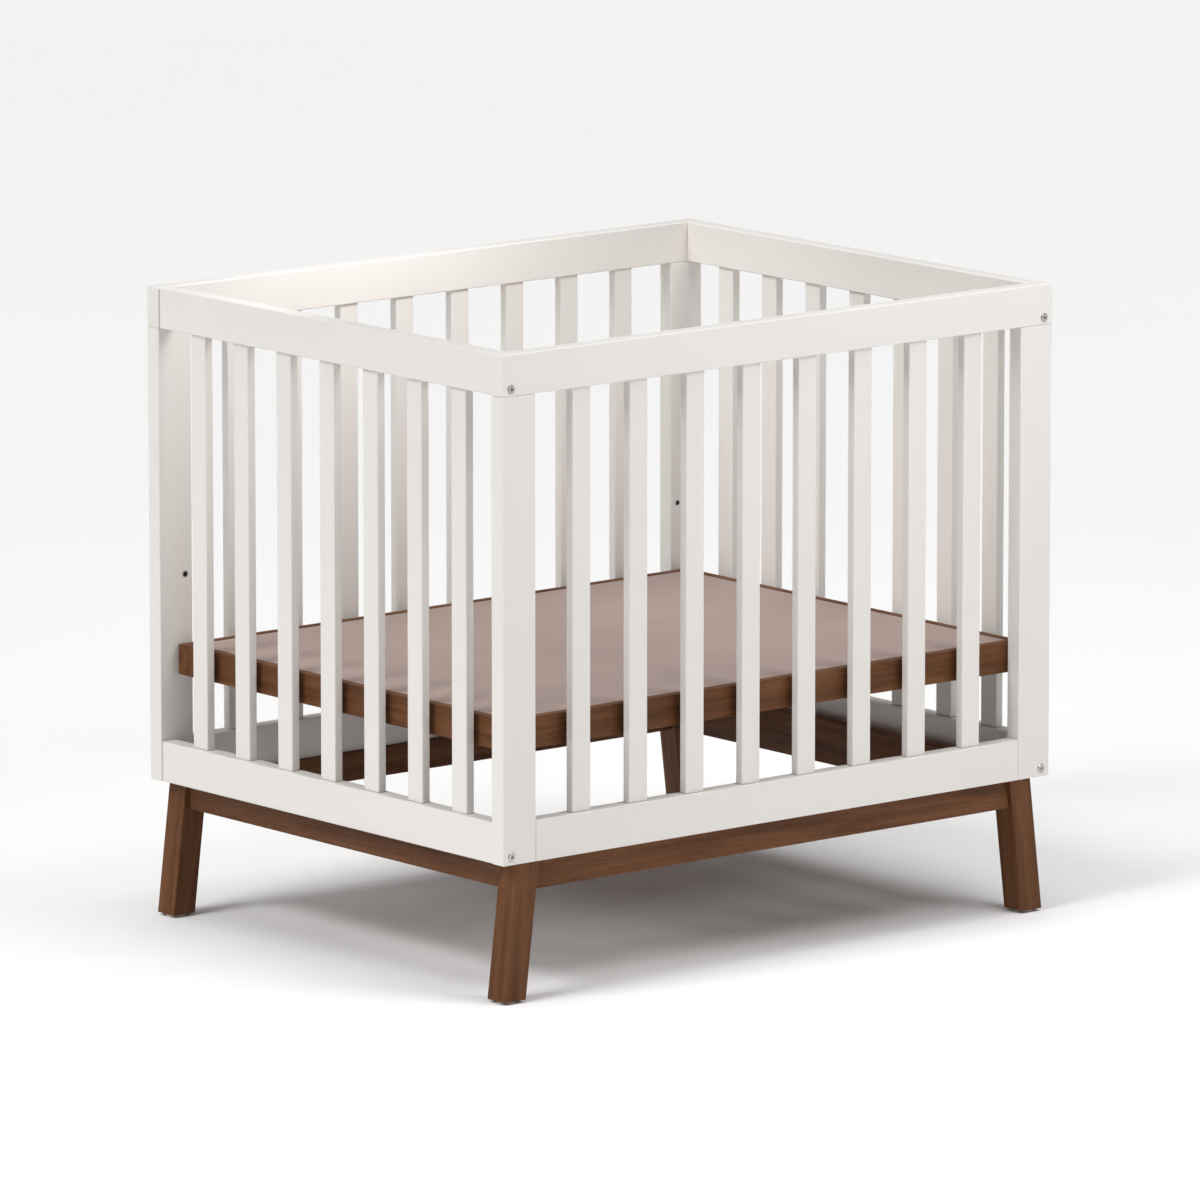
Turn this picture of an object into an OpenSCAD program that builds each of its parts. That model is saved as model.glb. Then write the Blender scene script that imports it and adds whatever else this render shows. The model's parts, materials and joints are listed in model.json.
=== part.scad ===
// Baby crib: a white slatted box on a splayed walnut base, with a mattress
// platform that moves between three heights. Millimetres, +Z up. The origin is
// on the floor under the middle of the crib, and the long sides run along X.

/* [Overall] */
// Length along the long sides
crib_length = 864; // [840:2:960]
// Width across the ends
crib_width = 686; // [640:2:720]
// Height from the floor to the top of the rails
crib_height = 782; // [760:2:860]
// Height of the panels above the floor
base_height = 170; // [160:2:200]

/* [Panels] */
// Height of the rails and width of the posts
member_w = 50; // [48:1:56]
// Thickness of the rails and posts
panel_t = 22; // [22:1:25]
// Rounding along the edges of the rails, posts and slats
edge_r = 1.5; // [1:0.5:2.5]
// Distance that the end panels sit in from the ends of the long panels
end_inset = 2; // [1:1:4]

/* [Slats] */
// Slats in each long side
long_slats = 8; // [7:1:9]
// Slats in each end
end_slats = 7; // [5:1:7]
// Width of a slat
slat_w = 28; // [24:1:30]
// Thickness of a slat
slat_t = 12; // [11:1:14]
// Length of the tenon on each end of a slat
tenon_length = 10; // [6:1:14]

/* [Base] */
// Side of a leg's square section
leg_size = 33; // [32:1:36]
// Outward lean of the legs along the crib, in degrees
leg_splay = 7; // [5:0.5:8]
// Distance from the end of the crib to a leg, just under the panels
leg_set_in = 26; // [26:1:28]
// Distance from the side of the crib to a leg
leg_side_inset = 5; // [4:1:6]
// Depth of the aprons that shows below the panels
apron_drop = 36; // [34:1:44]
// Height of the leg tops and end aprons above the underside of the panels
leg_rise = 19; // [19:1:22]
// Thickness of the long aprons
long_apron_t = 18; // [16:1:20]
// Thickness of the end aprons
end_apron_t = 16; // [14:1:16]

/* [Platform] */
// Height of the platform's top above the floor, at the middle setting
platform_height = 339; // [320:1:350]
// Distance between one height setting and the next
height_step = 111; // [90:1:111]
// Height of the platform's rails
platform_rail_h = 38; // [36:1:42]
// Thickness of the platform's rails
platform_rail_t = 18; // [18:1:20]
// Thickness of the platform's board
board_t = 5.5; // [4:0.5:6]
// Gap between the platform and the panels round it
platform_gap = 2; // [1.5:0.5:3]

/* [Hardware] */
// Diameter of the bolt shanks
bolt_d = 6; // [5:0.5:6]
// Diameter of the frame bolts' heads
frame_head_d = 11; // [10:0.5:12]
// Diameter of the wooden dowels
dowel_d = 8; // [6:1:8]
// Length of the wooden dowels
dowel_length = 30; // [24:2:30]
// Diameter of the floor glides
glide_d = 24; // [20:1:26]

/* [Hidden] */
battens = 3;
$fn = 48;

white = [0.91, 0.90, 0.88];
walnut = [0.37, 0.25, 0.18];
laminate = [0.64, 0.56, 0.53];
steel = [0.62, 0.63, 0.65];
beech = [0.84, 0.70, 0.52];
nylon = [0.85, 0.83, 0.79];
LEFT = -1;
RIGHT = 1;
FRONT = -1;
REAR = 1;
eps = 0.5;

// Panels
half_length = crib_length / 2;
half_width = crib_width / 2;
panel_mid_y = half_width - panel_t / 2;
inner_y = half_width - panel_t;
end_mid_x = half_length - end_inset - panel_t / 2;
inner_x = half_length - end_inset - panel_t;
post_inner_x = half_length - member_w;
post_mid_x = half_length - member_w / 2;
rail_under_z = crib_height - member_w;
low_rail_top_z = base_height + member_w;
low_rail_mid_z = base_height + member_w / 2;
slat_length = rail_under_z - low_rail_top_z;
slat_mid_z = (rail_under_z + low_rail_top_z) / 2;
long_pitch = (2 * post_inner_x - long_slats * slat_w) / (long_slats + 1) + slat_w;
end_pitch = (2 * inner_y - end_slats * slat_w) / (end_slats + 1) + slat_w;
tenon_shoulder_w = 4;
tenon_shoulder_t = 2;
tenon_w = slat_w - 2 * tenon_shoulder_w;
tenon_t = slat_t - 2 * tenon_shoulder_t;
mortise_play = 0.2;

// Base
glide_h = 3;
glide_pin_d = 3;
glide_pin_length = 10;
leg_top_z = base_height + leg_rise;
leg_outer_y = half_width - leg_side_inset;
leg_inner_y = leg_outer_y - leg_size;
leg_width_x = leg_size / cos(leg_splay);
apron_bottom_z = base_height - apron_drop;
long_apron_set_in = 6;
end_apron_set_in = 6.5;
long_apron_y = leg_outer_y - long_apron_set_in - long_apron_t / 2;
end_apron_x = inner_x - end_apron_set_in - end_apron_t / 2;
end_apron_h = leg_top_z - apron_bottom_z;

// Platform
platform_x = inner_x - platform_gap;
platform_y = inner_y - platform_gap;
platform_bottom_z = platform_height - platform_rail_h;
rebate_w = 6;
rebate_h = 6;
board_play = 0.5;
batten_w = 40;
batten_h = 18;
batten_pitch = platform_x / 2;
batten_let_in = 6;
batten_z = platform_height - rebate_h - batten_h / 2;

// Bolts that join the long panels to the end rails, and their barrel nuts
hole_play = 0.4;
thread_play = 0.1;
frame_head_h = 3;
frame_head_proud = 0.8;
frame_socket_w = 4;
frame_socket_floor = 0.8;
frame_bolt_length = 60;
frame_bolt_hole_spare = 3;
frame_bolt_inset = 10;
frame_bolt_top_inset = 8.5;
frame_bolt_zs = [base_height + frame_bolt_inset, rail_under_z + frame_bolt_top_inset];
frame_head_y = half_width - frame_head_h + frame_head_proud;
frame_bolt_tip_y = half_width - frame_bolt_length;
nut_d = 10;
nut_h = 15;
nut_depth = 30;
nut_y = inner_y - nut_depth;
nut_hole_spare = 3;

// Threaded inserts, and the cap screws that go into them
insert_d = 9;
insert_length = 12;
insert_inset = 11;
insert_x = post_inner_x + insert_inset;
cap_head_d = 10;
cap_head_h = 6;
cap_socket_w = 5;
leg_bolt_inset = 5;
leg_bolt_rise = 10;
leg_bolt_x = post_inner_x - leg_bolt_inset;
leg_bolt_z = base_height + leg_bolt_rise;
leg_bolt_length = 25;
platform_bolt_length = 30;
platform_bolt_set_back = 0.5;
platform_bolt_rise = 12;
platform_bolt_z = platform_bottom_z + platform_bolt_rise;

// Platform bolt heights on the posts, at the low, middle and high settings
bolt_zs = [for (k = [-1:1]) platform_bolt_z + k * height_step];

// Notches in the platform's end rails, which make room for a key to turn the bolts
notch_h = 22;
notch_length = 40;
notch_skin = 7;

// Screws in the corners of the platform
screw_d = 4;
screw_head_d = 7;
screw_length = 40;
screw_insets = [5.5, 13.5];
screw_rise = 27;

// Dowels round the rear right corner: centre and axis of each one
dowel_play = 0.2;
dowel_hole_spare = 1;
glide_hole_h = glide_h + glide_pin_length + dowel_hole_spare;
post_dowel_insets = [7, 21];
rail_dowel_rises = [22, 42];
end_dowel_zs = [base_height + 35, rail_under_z + 30];
long_apron_dowel_rises = [10, 26];
end_apron_dowel_rises = [12, 28];
leg_dowel_shift = 2;
corner_dowels = concat(
    [for (inset = post_dowel_insets) [[post_inner_x + inset, panel_mid_y, rail_under_z], "z"]],
    [for (rise = rail_dowel_rises) [[post_inner_x, panel_mid_y, base_height + rise], "x"]],
    [for (z = end_dowel_zs) [[end_mid_x, inner_y, z], "y"]],
    [for (z = [for (rise = long_apron_dowel_rises) apron_bottom_z + rise])
        [[leg_inner_x(z) - leg_dowel_shift, long_apron_y, z], "x"]],
    [for (rise = end_apron_dowel_rises) [[end_apron_x, leg_inner_y, apron_bottom_z + rise], "y"]]);

// Distance of a leg's outer and inner face from the middle of the crib, at height z
function leg_outer_x(z) = half_length - leg_set_in + (base_height - z) * tan(leg_splay);
function leg_inner_x(z) = leg_outer_x(z) - leg_width_x;

// Middle of a leg's foot
glide_x = (leg_outer_x(0) + leg_inner_x(0)) / 2;
glide_y = (leg_outer_y + leg_inner_y) / 2;

// Place of a slat along its panel, counted from the left or the front
function slat_x(i) = (i - (long_slats + 1) / 2) * long_pitch;
function slat_y(i) = (i - (end_slats + 1) / 2) * end_pitch;

// Place of a batten along the platform
function batten_x(i) = (i - (battens + 1) / 2) * batten_pitch;

// ---- Shared shapes ----

// Everything round a corner is drawn at the rear right one, and mirrored to the others
module to_corner(side_x, side_y) {
    mirror([side_x == LEFT ? 1 : 0, 0, 0])
        mirror([0, side_y == FRONT ? 1 : 0, 0])
            children();
}

module at_all_corners() {
    for (side_x = [LEFT, RIGHT], side_y = [FRONT, REAR])
        to_corner(side_x, side_y) children();
}

// Rectangle with rounded corners, centred
module eased_rect(w, h, r = edge_r) {
    square([w - 2 * r, h], center = true);
    square([w, h - 2 * r], center = true);
    for (sx = [-1, 1], sy = [-1, 1])
        translate([sx * (w / 2 - r), sy * (h / 2 - r)])
            circle(r = r, $fn = 24);
}

// Bars with eased long edges, centred, along each axis
module bar_x(length, size_y, size_z) {
    rotate([90, 0, 90])
        linear_extrude(height = length, center = true)
            eased_rect(size_y, size_z);
}

module bar_y(length, size_x, size_z) {
    rotate([90, 0, 0])
        linear_extrude(height = length, center = true)
            eased_rect(size_x, size_z);
}

module bar_z(length, size_x, size_y) {
    linear_extrude(height = length, center = true)
        eased_rect(size_x, size_y);
}

module box(size) {
    cube(size, center = true);
}

// Turns a shape drawn along Z to lie along the named axis
module along(axis) {
    rotate(axis == "x" ? [0, 90, 0] : axis == "y" ? [90, 0, 0] : [0, 0, 0])
        children();
}

// Rod between two distances on the Y axis
module rod_y(d, y1, y2) {
    translate([0, y2, 0])
        rotate([90, 0, 0])
            cylinder(d = d, h = y2 - y1);
}

// Hexagon socket for a key, cut from y2 back to y1
module socket_y(across_flats, y1, y2) {
    translate([0, y2, 0])
        rotate([90, 0, 0])
            cylinder(d = across_flats / cos(30), h = y2 - y1, $fn = 6);
}

// ---- Hardware round one corner, as solids and as the holes for them ----

module dowel_set(d, length) {
    for (dowel = corner_dowels)
        translate(dowel[0])
            along(dowel[1])
                cylinder(d = d, h = length, center = true);
}

module dowel_holes() {
    dowel_set(dowel_d + dowel_play, dowel_length + dowel_hole_spare);
}

module frame_bolt_holes() {
    for (z = frame_bolt_zs)
        translate([end_mid_x, 0, z]) {
            rod_y(bolt_d + hole_play, frame_bolt_tip_y - frame_bolt_hole_spare, half_width + eps);
            rod_y(frame_head_d + hole_play, frame_head_y, half_width + eps);
        }
}

// Blind holes from below, with room to push the nuts up to the bolts
module barrel_nut_holes() {
    for (z = frame_bolt_zs)
        translate([end_mid_x, nut_y, z - nut_h / 2 - nut_hole_spare])
            cylinder(d = nut_d + dowel_play, h = nut_h + nut_hole_spare + eps);
}

module insert_holes() {
    for (z = bolt_zs)
        translate([insert_x, 0, z])
            rod_y(insert_d, inner_y - eps, inner_y + insert_length);
    translate([leg_bolt_x, 0, leg_bolt_z])
        rod_y(insert_d, inner_y - eps, inner_y + insert_length);
}

// ---- Panels ----

module long_mortises(side_y, z) {
    for (i = [1:long_slats])
        translate([slat_x(i), side_y * panel_mid_y, z])
            box([tenon_w + mortise_play, tenon_t + mortise_play, 2 * tenon_length + 2 * mortise_play]);
}

module end_mortises(side_x, z) {
    for (i = [1:end_slats])
        translate([side_x * end_mid_x, slat_y(i), z])
            box([tenon_t + mortise_play, tenon_w + mortise_play, 2 * tenon_length + 2 * mortise_play]);
}

module long_top_rail(side_y) {
    color(white)
        difference() {
            translate([0, side_y * panel_mid_y, crib_height - member_w / 2])
                bar_x(crib_length, panel_t, member_w);
            long_mortises(side_y, rail_under_z);
            for (side_x = [LEFT, RIGHT])
                to_corner(side_x, side_y) {
                    dowel_holes();
                    frame_bolt_holes();
                }
        }
}

module long_bottom_rail(side_y) {
    color(white)
        difference() {
            translate([0, side_y * panel_mid_y, base_height + member_w / 2])
                bar_x(2 * post_inner_x, panel_t, member_w);
            long_mortises(side_y, low_rail_top_z);
            for (side_x = [LEFT, RIGHT])
                to_corner(side_x, side_y) {
                    dowel_holes();
                    insert_holes();
                }
        }
}

module post(side_x, side_y) {
    color(white)
        to_corner(side_x, side_y)
            difference() {
                translate([post_mid_x, panel_mid_y, (base_height + rail_under_z) / 2])
                    bar_z(rail_under_z - base_height, member_w, panel_t);
                dowel_holes();
                frame_bolt_holes();
                insert_holes();
            }
}

// Slat for a long side, with a tenon on each end
module long_slat(side_y, i) {
    color(white)
        translate([slat_x(i), side_y * panel_mid_y, slat_mid_z]) {
            bar_z(slat_length, slat_w, slat_t);
            box([tenon_w, tenon_t, slat_length + 2 * tenon_length]);
        }
}

module end_rail(side_x, z, mortise_z) {
    color(white)
        difference() {
            translate([side_x * end_mid_x, 0, z])
                bar_y(2 * inner_y, panel_t, member_w);
            end_mortises(side_x, mortise_z);
            for (side_y = [FRONT, REAR])
                to_corner(side_x, side_y) {
                    dowel_holes();
                    frame_bolt_holes();
                    barrel_nut_holes();
                }
        }
}

module end_slat_set(side_x) {
    color(white)
        for (i = [1:end_slats])
            translate([side_x * end_mid_x, slat_y(i), slat_mid_z]) {
                bar_z(slat_length, slat_t, slat_w);
                box([tenon_t, tenon_w, slat_length + 2 * tenon_length]);
            }
}

// ---- Base ----

// Square bar that leans inwards as it rises, cut level at the floor and at the top
module leg_blank() {
    mid_x = (leg_outer_x(0) + leg_inner_x(0)) / 2;
    intersection() {
        translate([mid_x, (leg_outer_y + leg_inner_y) / 2, 0])
            rotate([0, -leg_splay, 0])
                bar_z(3 * leg_top_z, leg_size, leg_size);
        translate([mid_x, leg_outer_y, (glide_h + leg_top_z) / 2])
            box([6 * leg_size, 4 * leg_size, leg_top_z - glide_h]);
    }
}

// A leg carries the panel on a shoulder, and its inner part stands up inside the crib
module leg(side_x, side_y) {
    color(walnut)
        to_corner(side_x, side_y)
            difference() {
                leg_blank();
                translate([post_inner_x, inner_y + leg_size, base_height + leg_size])
                    box([4 * leg_size, 2 * leg_size, 2 * leg_size]);
                dowel_holes();
                translate([leg_bolt_x, 0, leg_bolt_z])
                    rod_y(bolt_d + hole_play, leg_inner_y - eps, leg_outer_y);
                translate([glide_x, glide_y, 0])
                    cylinder(d = glide_pin_d + dowel_play, h = glide_hole_h);
            }
}

// Long apron, its ends cut to the lean of the legs
module long_apron(side_y) {
    mid_z = apron_bottom_z + apron_drop / 2;
    color(walnut)
        difference() {
            translate([0, side_y * long_apron_y, mid_z])
                intersection() {
                    bar_x(crib_length, long_apron_t, apron_drop);
                    rotate([90, 0, 0])
                        linear_extrude(height = 2 * long_apron_t, center = true)
                            polygon([
                                [-leg_inner_x(apron_bottom_z), -apron_drop / 2],
                                [leg_inner_x(apron_bottom_z), -apron_drop / 2],
                                [leg_inner_x(base_height), apron_drop / 2],
                                [-leg_inner_x(base_height), apron_drop / 2]]);
                }
            for (side_x = [LEFT, RIGHT])
                to_corner(side_x, side_y) dowel_holes();
        }
}

// End apron, tall enough to stand inside the crib's bottom rail
module end_apron(side_x) {
    color(walnut)
        difference() {
            translate([side_x * end_apron_x, 0, apron_bottom_z + end_apron_h / 2])
                bar_y(2 * leg_inner_y, end_apron_t, end_apron_h);
            for (side_y = [FRONT, REAR])
                to_corner(side_x, side_y) dowel_holes();
        }
}

// ---- Mattress platform ----

module platform_board() {
    half_x = platform_x - platform_rail_t + rebate_w - board_play;
    half_y = platform_y - platform_rail_t + rebate_w - board_play;
    color(laminate)
        translate([0, 0, platform_height - rebate_h + board_t / 2])
            bar_y(2 * half_y, 2 * half_x, board_t, $fn = 24);
}

// Long rail of the platform, rebated for the board and housed for the battens
module platform_long_rail(side_y) {
    inner_face_y = platform_y - platform_rail_t;
    color(walnut)
        to_corner(RIGHT, side_y)
            difference() {
                translate([0, platform_y - platform_rail_t / 2, platform_bottom_z + platform_rail_h / 2])
                    bar_x(2 * platform_x, platform_rail_t, platform_rail_h);
                translate([0, inner_face_y, platform_height])
                    box([2 * (platform_x - platform_rail_t + rebate_w), 2 * rebate_w, 2 * rebate_h]);
                for (i = [1:battens])
                    translate([batten_x(i), inner_face_y, batten_z])
                        box([batten_w + mortise_play, 2 * batten_let_in, batten_h]);
                for (side_x = [LEFT, RIGHT])
                    to_corner(side_x, REAR) {
                        platform_bolt_hole();
                        platform_screw_set(hole_play);
                    }
            }
}

// End rail of the platform, rebated for the board, with a notch to reach each bolt
module platform_end_rail(side_x) {
    half_y = platform_y - platform_rail_t;
    mid_x = platform_x - platform_rail_t / 2;
    color(walnut)
        to_corner(side_x, REAR)
            difference() {
                translate([mid_x, 0, platform_bottom_z + platform_rail_h / 2])
                    bar_y(2 * half_y, platform_rail_t, platform_rail_h);
                translate([platform_x - platform_rail_t, 0, platform_height])
                    box([2 * rebate_w, 2 * (half_y + eps), 2 * rebate_h]);
                for (side_y = [FRONT, REAR])
                    to_corner(RIGHT, side_y) {
                        translate([mid_x - notch_skin, half_y, platform_bottom_z])
                            box([platform_rail_t, 2 * notch_length, 2 * notch_h]);
                        platform_screw_set(hole_play);
                    }
            }
}

module platform_batten(i) {
    color(walnut)
        translate([batten_x(i), 0, batten_z])
            box([batten_w, 2 * (platform_y - platform_rail_t + batten_let_in), batten_h]);
}

module platform_bolt_hole() {
    translate([insert_x, 0, platform_bolt_z])
        rod_y(bolt_d + hole_play, platform_y - platform_rail_t - eps, platform_y + eps);
}

// Countersunk screws through a long rail of the platform into an end rail
module platform_screw_set(play = 0) {
    for (inset = screw_insets)
        translate([platform_x - inset, platform_y, platform_bottom_z + screw_rise])
            rotate([90, 0, 0]) {
                cylinder(d = screw_d + play, h = screw_length);
                cylinder(d1 = screw_head_d + play, d2 = screw_d, h = (screw_head_d - screw_d) / 2);
            }
}

// ---- Hardware ----

module frame_bolts() {
    head_top_y = frame_head_y + frame_head_h;
    color(steel)
        at_all_corners()
            for (z = frame_bolt_zs)
                translate([end_mid_x, 0, z])
                    difference() {
                        union() {
                            rod_y(frame_head_d, frame_head_y, head_top_y);
                            rod_y(bolt_d, frame_bolt_tip_y, frame_head_y + eps);
                        }
                        socket_y(frame_socket_w, frame_head_y + frame_socket_floor, head_top_y + eps);
                    }
}

module barrel_nuts() {
    color(steel)
        at_all_corners()
            for (z = frame_bolt_zs)
                translate([end_mid_x, nut_y, z])
                    difference() {
                        cylinder(d = nut_d, h = nut_h, center = true);
                        rod_y(bolt_d + thread_play, -nut_d, nut_d);
                    }
}

// Threaded sleeves in the posts, three heights for the platform and one for the leg bolt
module threaded_inserts() {
    color(steel)
        at_all_corners() {
            for (z = bolt_zs)
                translate([insert_x, 0, z]) threaded_insert();
            translate([leg_bolt_x, 0, leg_bolt_z]) threaded_insert();
        }
}

module threaded_insert() {
    difference() {
        rod_y(insert_d, inner_y, inner_y + insert_length);
        rod_y(bolt_d + thread_play, inner_y - eps, inner_y + insert_length + eps);
    }
}

module wood_dowels() {
    color(beech)
        at_all_corners() dowel_set(dowel_d, dowel_length);
}

// Cap screw along Y, with its head towards the middle of the crib
module cap_screw(length, tip_y) {
    head_y = tip_y - length;
    difference() {
        union() {
            rod_y(cap_head_d, head_y - cap_head_h, head_y);
            rod_y(bolt_d, head_y - eps, tip_y);
        }
        socket_y(cap_socket_w, head_y - cap_head_h - eps, head_y - cap_head_h / 2);
    }
}

module leg_bolts() {
    color(steel)
        at_all_corners()
            translate([leg_bolt_x, 0, leg_bolt_z])
                cap_screw(leg_bolt_length, leg_inner_y + leg_bolt_length);
}

// Glide under each leg: a disc with a pin up into the leg
module floor_glides() {
    color(nylon)
        at_all_corners()
            translate([glide_x, glide_y, 0]) {
                cylinder(d = glide_d, h = glide_h);
                cylinder(d = glide_pin_d, h = glide_h + glide_pin_length);
            }
}

// Bolts that fix the platform, drawn backed out of the posts so that it can be moved
module platform_bolts() {
    color(steel)
        at_all_corners()
            translate([insert_x, 0, platform_bolt_z])
                cap_screw(platform_bolt_length, platform_y - platform_bolt_set_back);
}

module platform_screws() {
    color(steel)
        at_all_corners() platform_screw_set();
}

// ---- Nodes ----

long_top_rail(FRONT);  // front_top_rail
long_bottom_rail(FRONT);  // front_bottom_rail
post(LEFT, FRONT);  // front_left_post
post(RIGHT, FRONT);  // front_right_post
long_top_rail(REAR);  // rear_top_rail
long_bottom_rail(REAR);  // rear_bottom_rail
post(LEFT, REAR);  // rear_left_post
post(RIGHT, REAR);  // rear_right_post
for (i = [1:long_slats]) {
    long_slat(FRONT, i);
    long_slat(REAR, i);
}
end_rail(LEFT, crib_height - member_w / 2, rail_under_z);  // left_top_rail
end_rail(LEFT, low_rail_mid_z, low_rail_top_z);  // left_bottom_rail
end_slat_set(LEFT);  // left_slats
end_rail(RIGHT, crib_height - member_w / 2, rail_under_z);  // right_top_rail
end_rail(RIGHT, low_rail_mid_z, low_rail_top_z);  // right_bottom_rail
end_slat_set(RIGHT);  // right_slats
leg(LEFT, FRONT);  // front_left_leg
leg(RIGHT, FRONT);  // front_right_leg
leg(LEFT, REAR);  // rear_left_leg
leg(RIGHT, REAR);  // rear_right_leg
long_apron(FRONT);  // front_apron
long_apron(REAR);  // rear_apron
end_apron(LEFT);  // left_apron
end_apron(RIGHT);  // right_apron
platform_board();
platform_long_rail(FRONT);  // platform_front_rail
platform_long_rail(REAR);  // platform_rear_rail
platform_end_rail(LEFT);  // platform_left_rail
platform_end_rail(RIGHT);  // platform_right_rail
for (i = [1:battens])
    platform_batten(i);
frame_bolts();
barrel_nuts();
threaded_inserts();
wood_dowels();
leg_bolts();
floor_glides();
platform_bolts();
platform_screws();
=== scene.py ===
import json
import math
import random

import bpy
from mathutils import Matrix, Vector


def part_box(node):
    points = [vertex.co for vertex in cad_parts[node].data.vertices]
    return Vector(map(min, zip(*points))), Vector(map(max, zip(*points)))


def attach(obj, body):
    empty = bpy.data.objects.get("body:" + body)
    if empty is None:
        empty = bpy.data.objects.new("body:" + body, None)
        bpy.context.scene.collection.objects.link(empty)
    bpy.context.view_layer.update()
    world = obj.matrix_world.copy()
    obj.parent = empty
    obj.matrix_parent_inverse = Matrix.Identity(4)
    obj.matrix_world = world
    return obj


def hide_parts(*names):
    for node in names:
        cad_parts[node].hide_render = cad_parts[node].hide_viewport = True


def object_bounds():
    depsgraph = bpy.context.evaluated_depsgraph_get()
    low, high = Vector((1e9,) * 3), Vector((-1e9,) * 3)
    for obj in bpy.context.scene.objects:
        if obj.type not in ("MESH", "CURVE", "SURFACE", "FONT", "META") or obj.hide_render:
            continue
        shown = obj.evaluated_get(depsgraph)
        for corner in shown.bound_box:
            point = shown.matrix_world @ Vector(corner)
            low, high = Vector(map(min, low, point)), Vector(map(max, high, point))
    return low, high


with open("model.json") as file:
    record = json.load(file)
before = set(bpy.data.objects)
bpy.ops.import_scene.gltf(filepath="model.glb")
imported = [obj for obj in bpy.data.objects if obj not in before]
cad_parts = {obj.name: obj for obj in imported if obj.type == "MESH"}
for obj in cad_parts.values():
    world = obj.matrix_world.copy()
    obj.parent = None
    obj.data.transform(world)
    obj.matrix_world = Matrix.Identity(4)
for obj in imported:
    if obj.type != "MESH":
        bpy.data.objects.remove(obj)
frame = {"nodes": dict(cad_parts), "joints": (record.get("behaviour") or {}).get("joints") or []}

bl_info = {
    "name": "Slatted Crib",
    "version": (1, 0, 0),
    "blender": (4, 5, 0),
    "location": "View3D > Sidebar > Crib",
    "description": "Models and finishes a slatted baby crib round its frame",
    "category": "Add Mesh",
}

CAD_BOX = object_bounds()

# The rigid bodies that the pieces ride on
CRIB = "crib_frame"
PLATFORM = "platform"

# Sides of the crib, as signs along X and Y
LEFT = FRONT = -1
RIGHT = REAR = 1
END_NAMES = {LEFT: "left", RIGHT: "right"}
SIDE_NAMES = {FRONT: "front", REAR: "rear"}

# Turns that bring the grain of a board onto X, by the way that the board runs
GRAIN_TURNS = {
    "x": (0, 0, 0),
    "y": (0, 0, -math.pi / 2),
    "z": (0, math.pi / 2, 0),
}

ROUND_SIDES = 48
EASING_STEPS = 3
SHARP_TURN = math.radians(30)
SMOOTH_TURN = math.radians(40)
# A length too short to matter
HAIR = 0.00001
# How far a cutter stands past the face it cuts
OVERCUT = 0.001

# Length of the holes for the leg bolts, which is more than a leg is thick
LEG_HOLE = 0.05
# How far the barrel nuts' holes go past the bolts, in nut diameters
NUT_HOLE = 0.8
# How far the pattern moves, in metres, for a piece whose own number is 1
FARTHEST_STRETCH = (7.3, 5.1, 3.7)
# Slats in each end panel
END_SLATS = 7
FLOOR_SIZE = 160

# Materials made so far, by what makes them
FINISHES = {}

# Step between two platform settings
HEIGHT_STEP = frame["joints"][0]["range_m"][1]


# ---- Sizes, colours and stage settings ----


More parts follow.
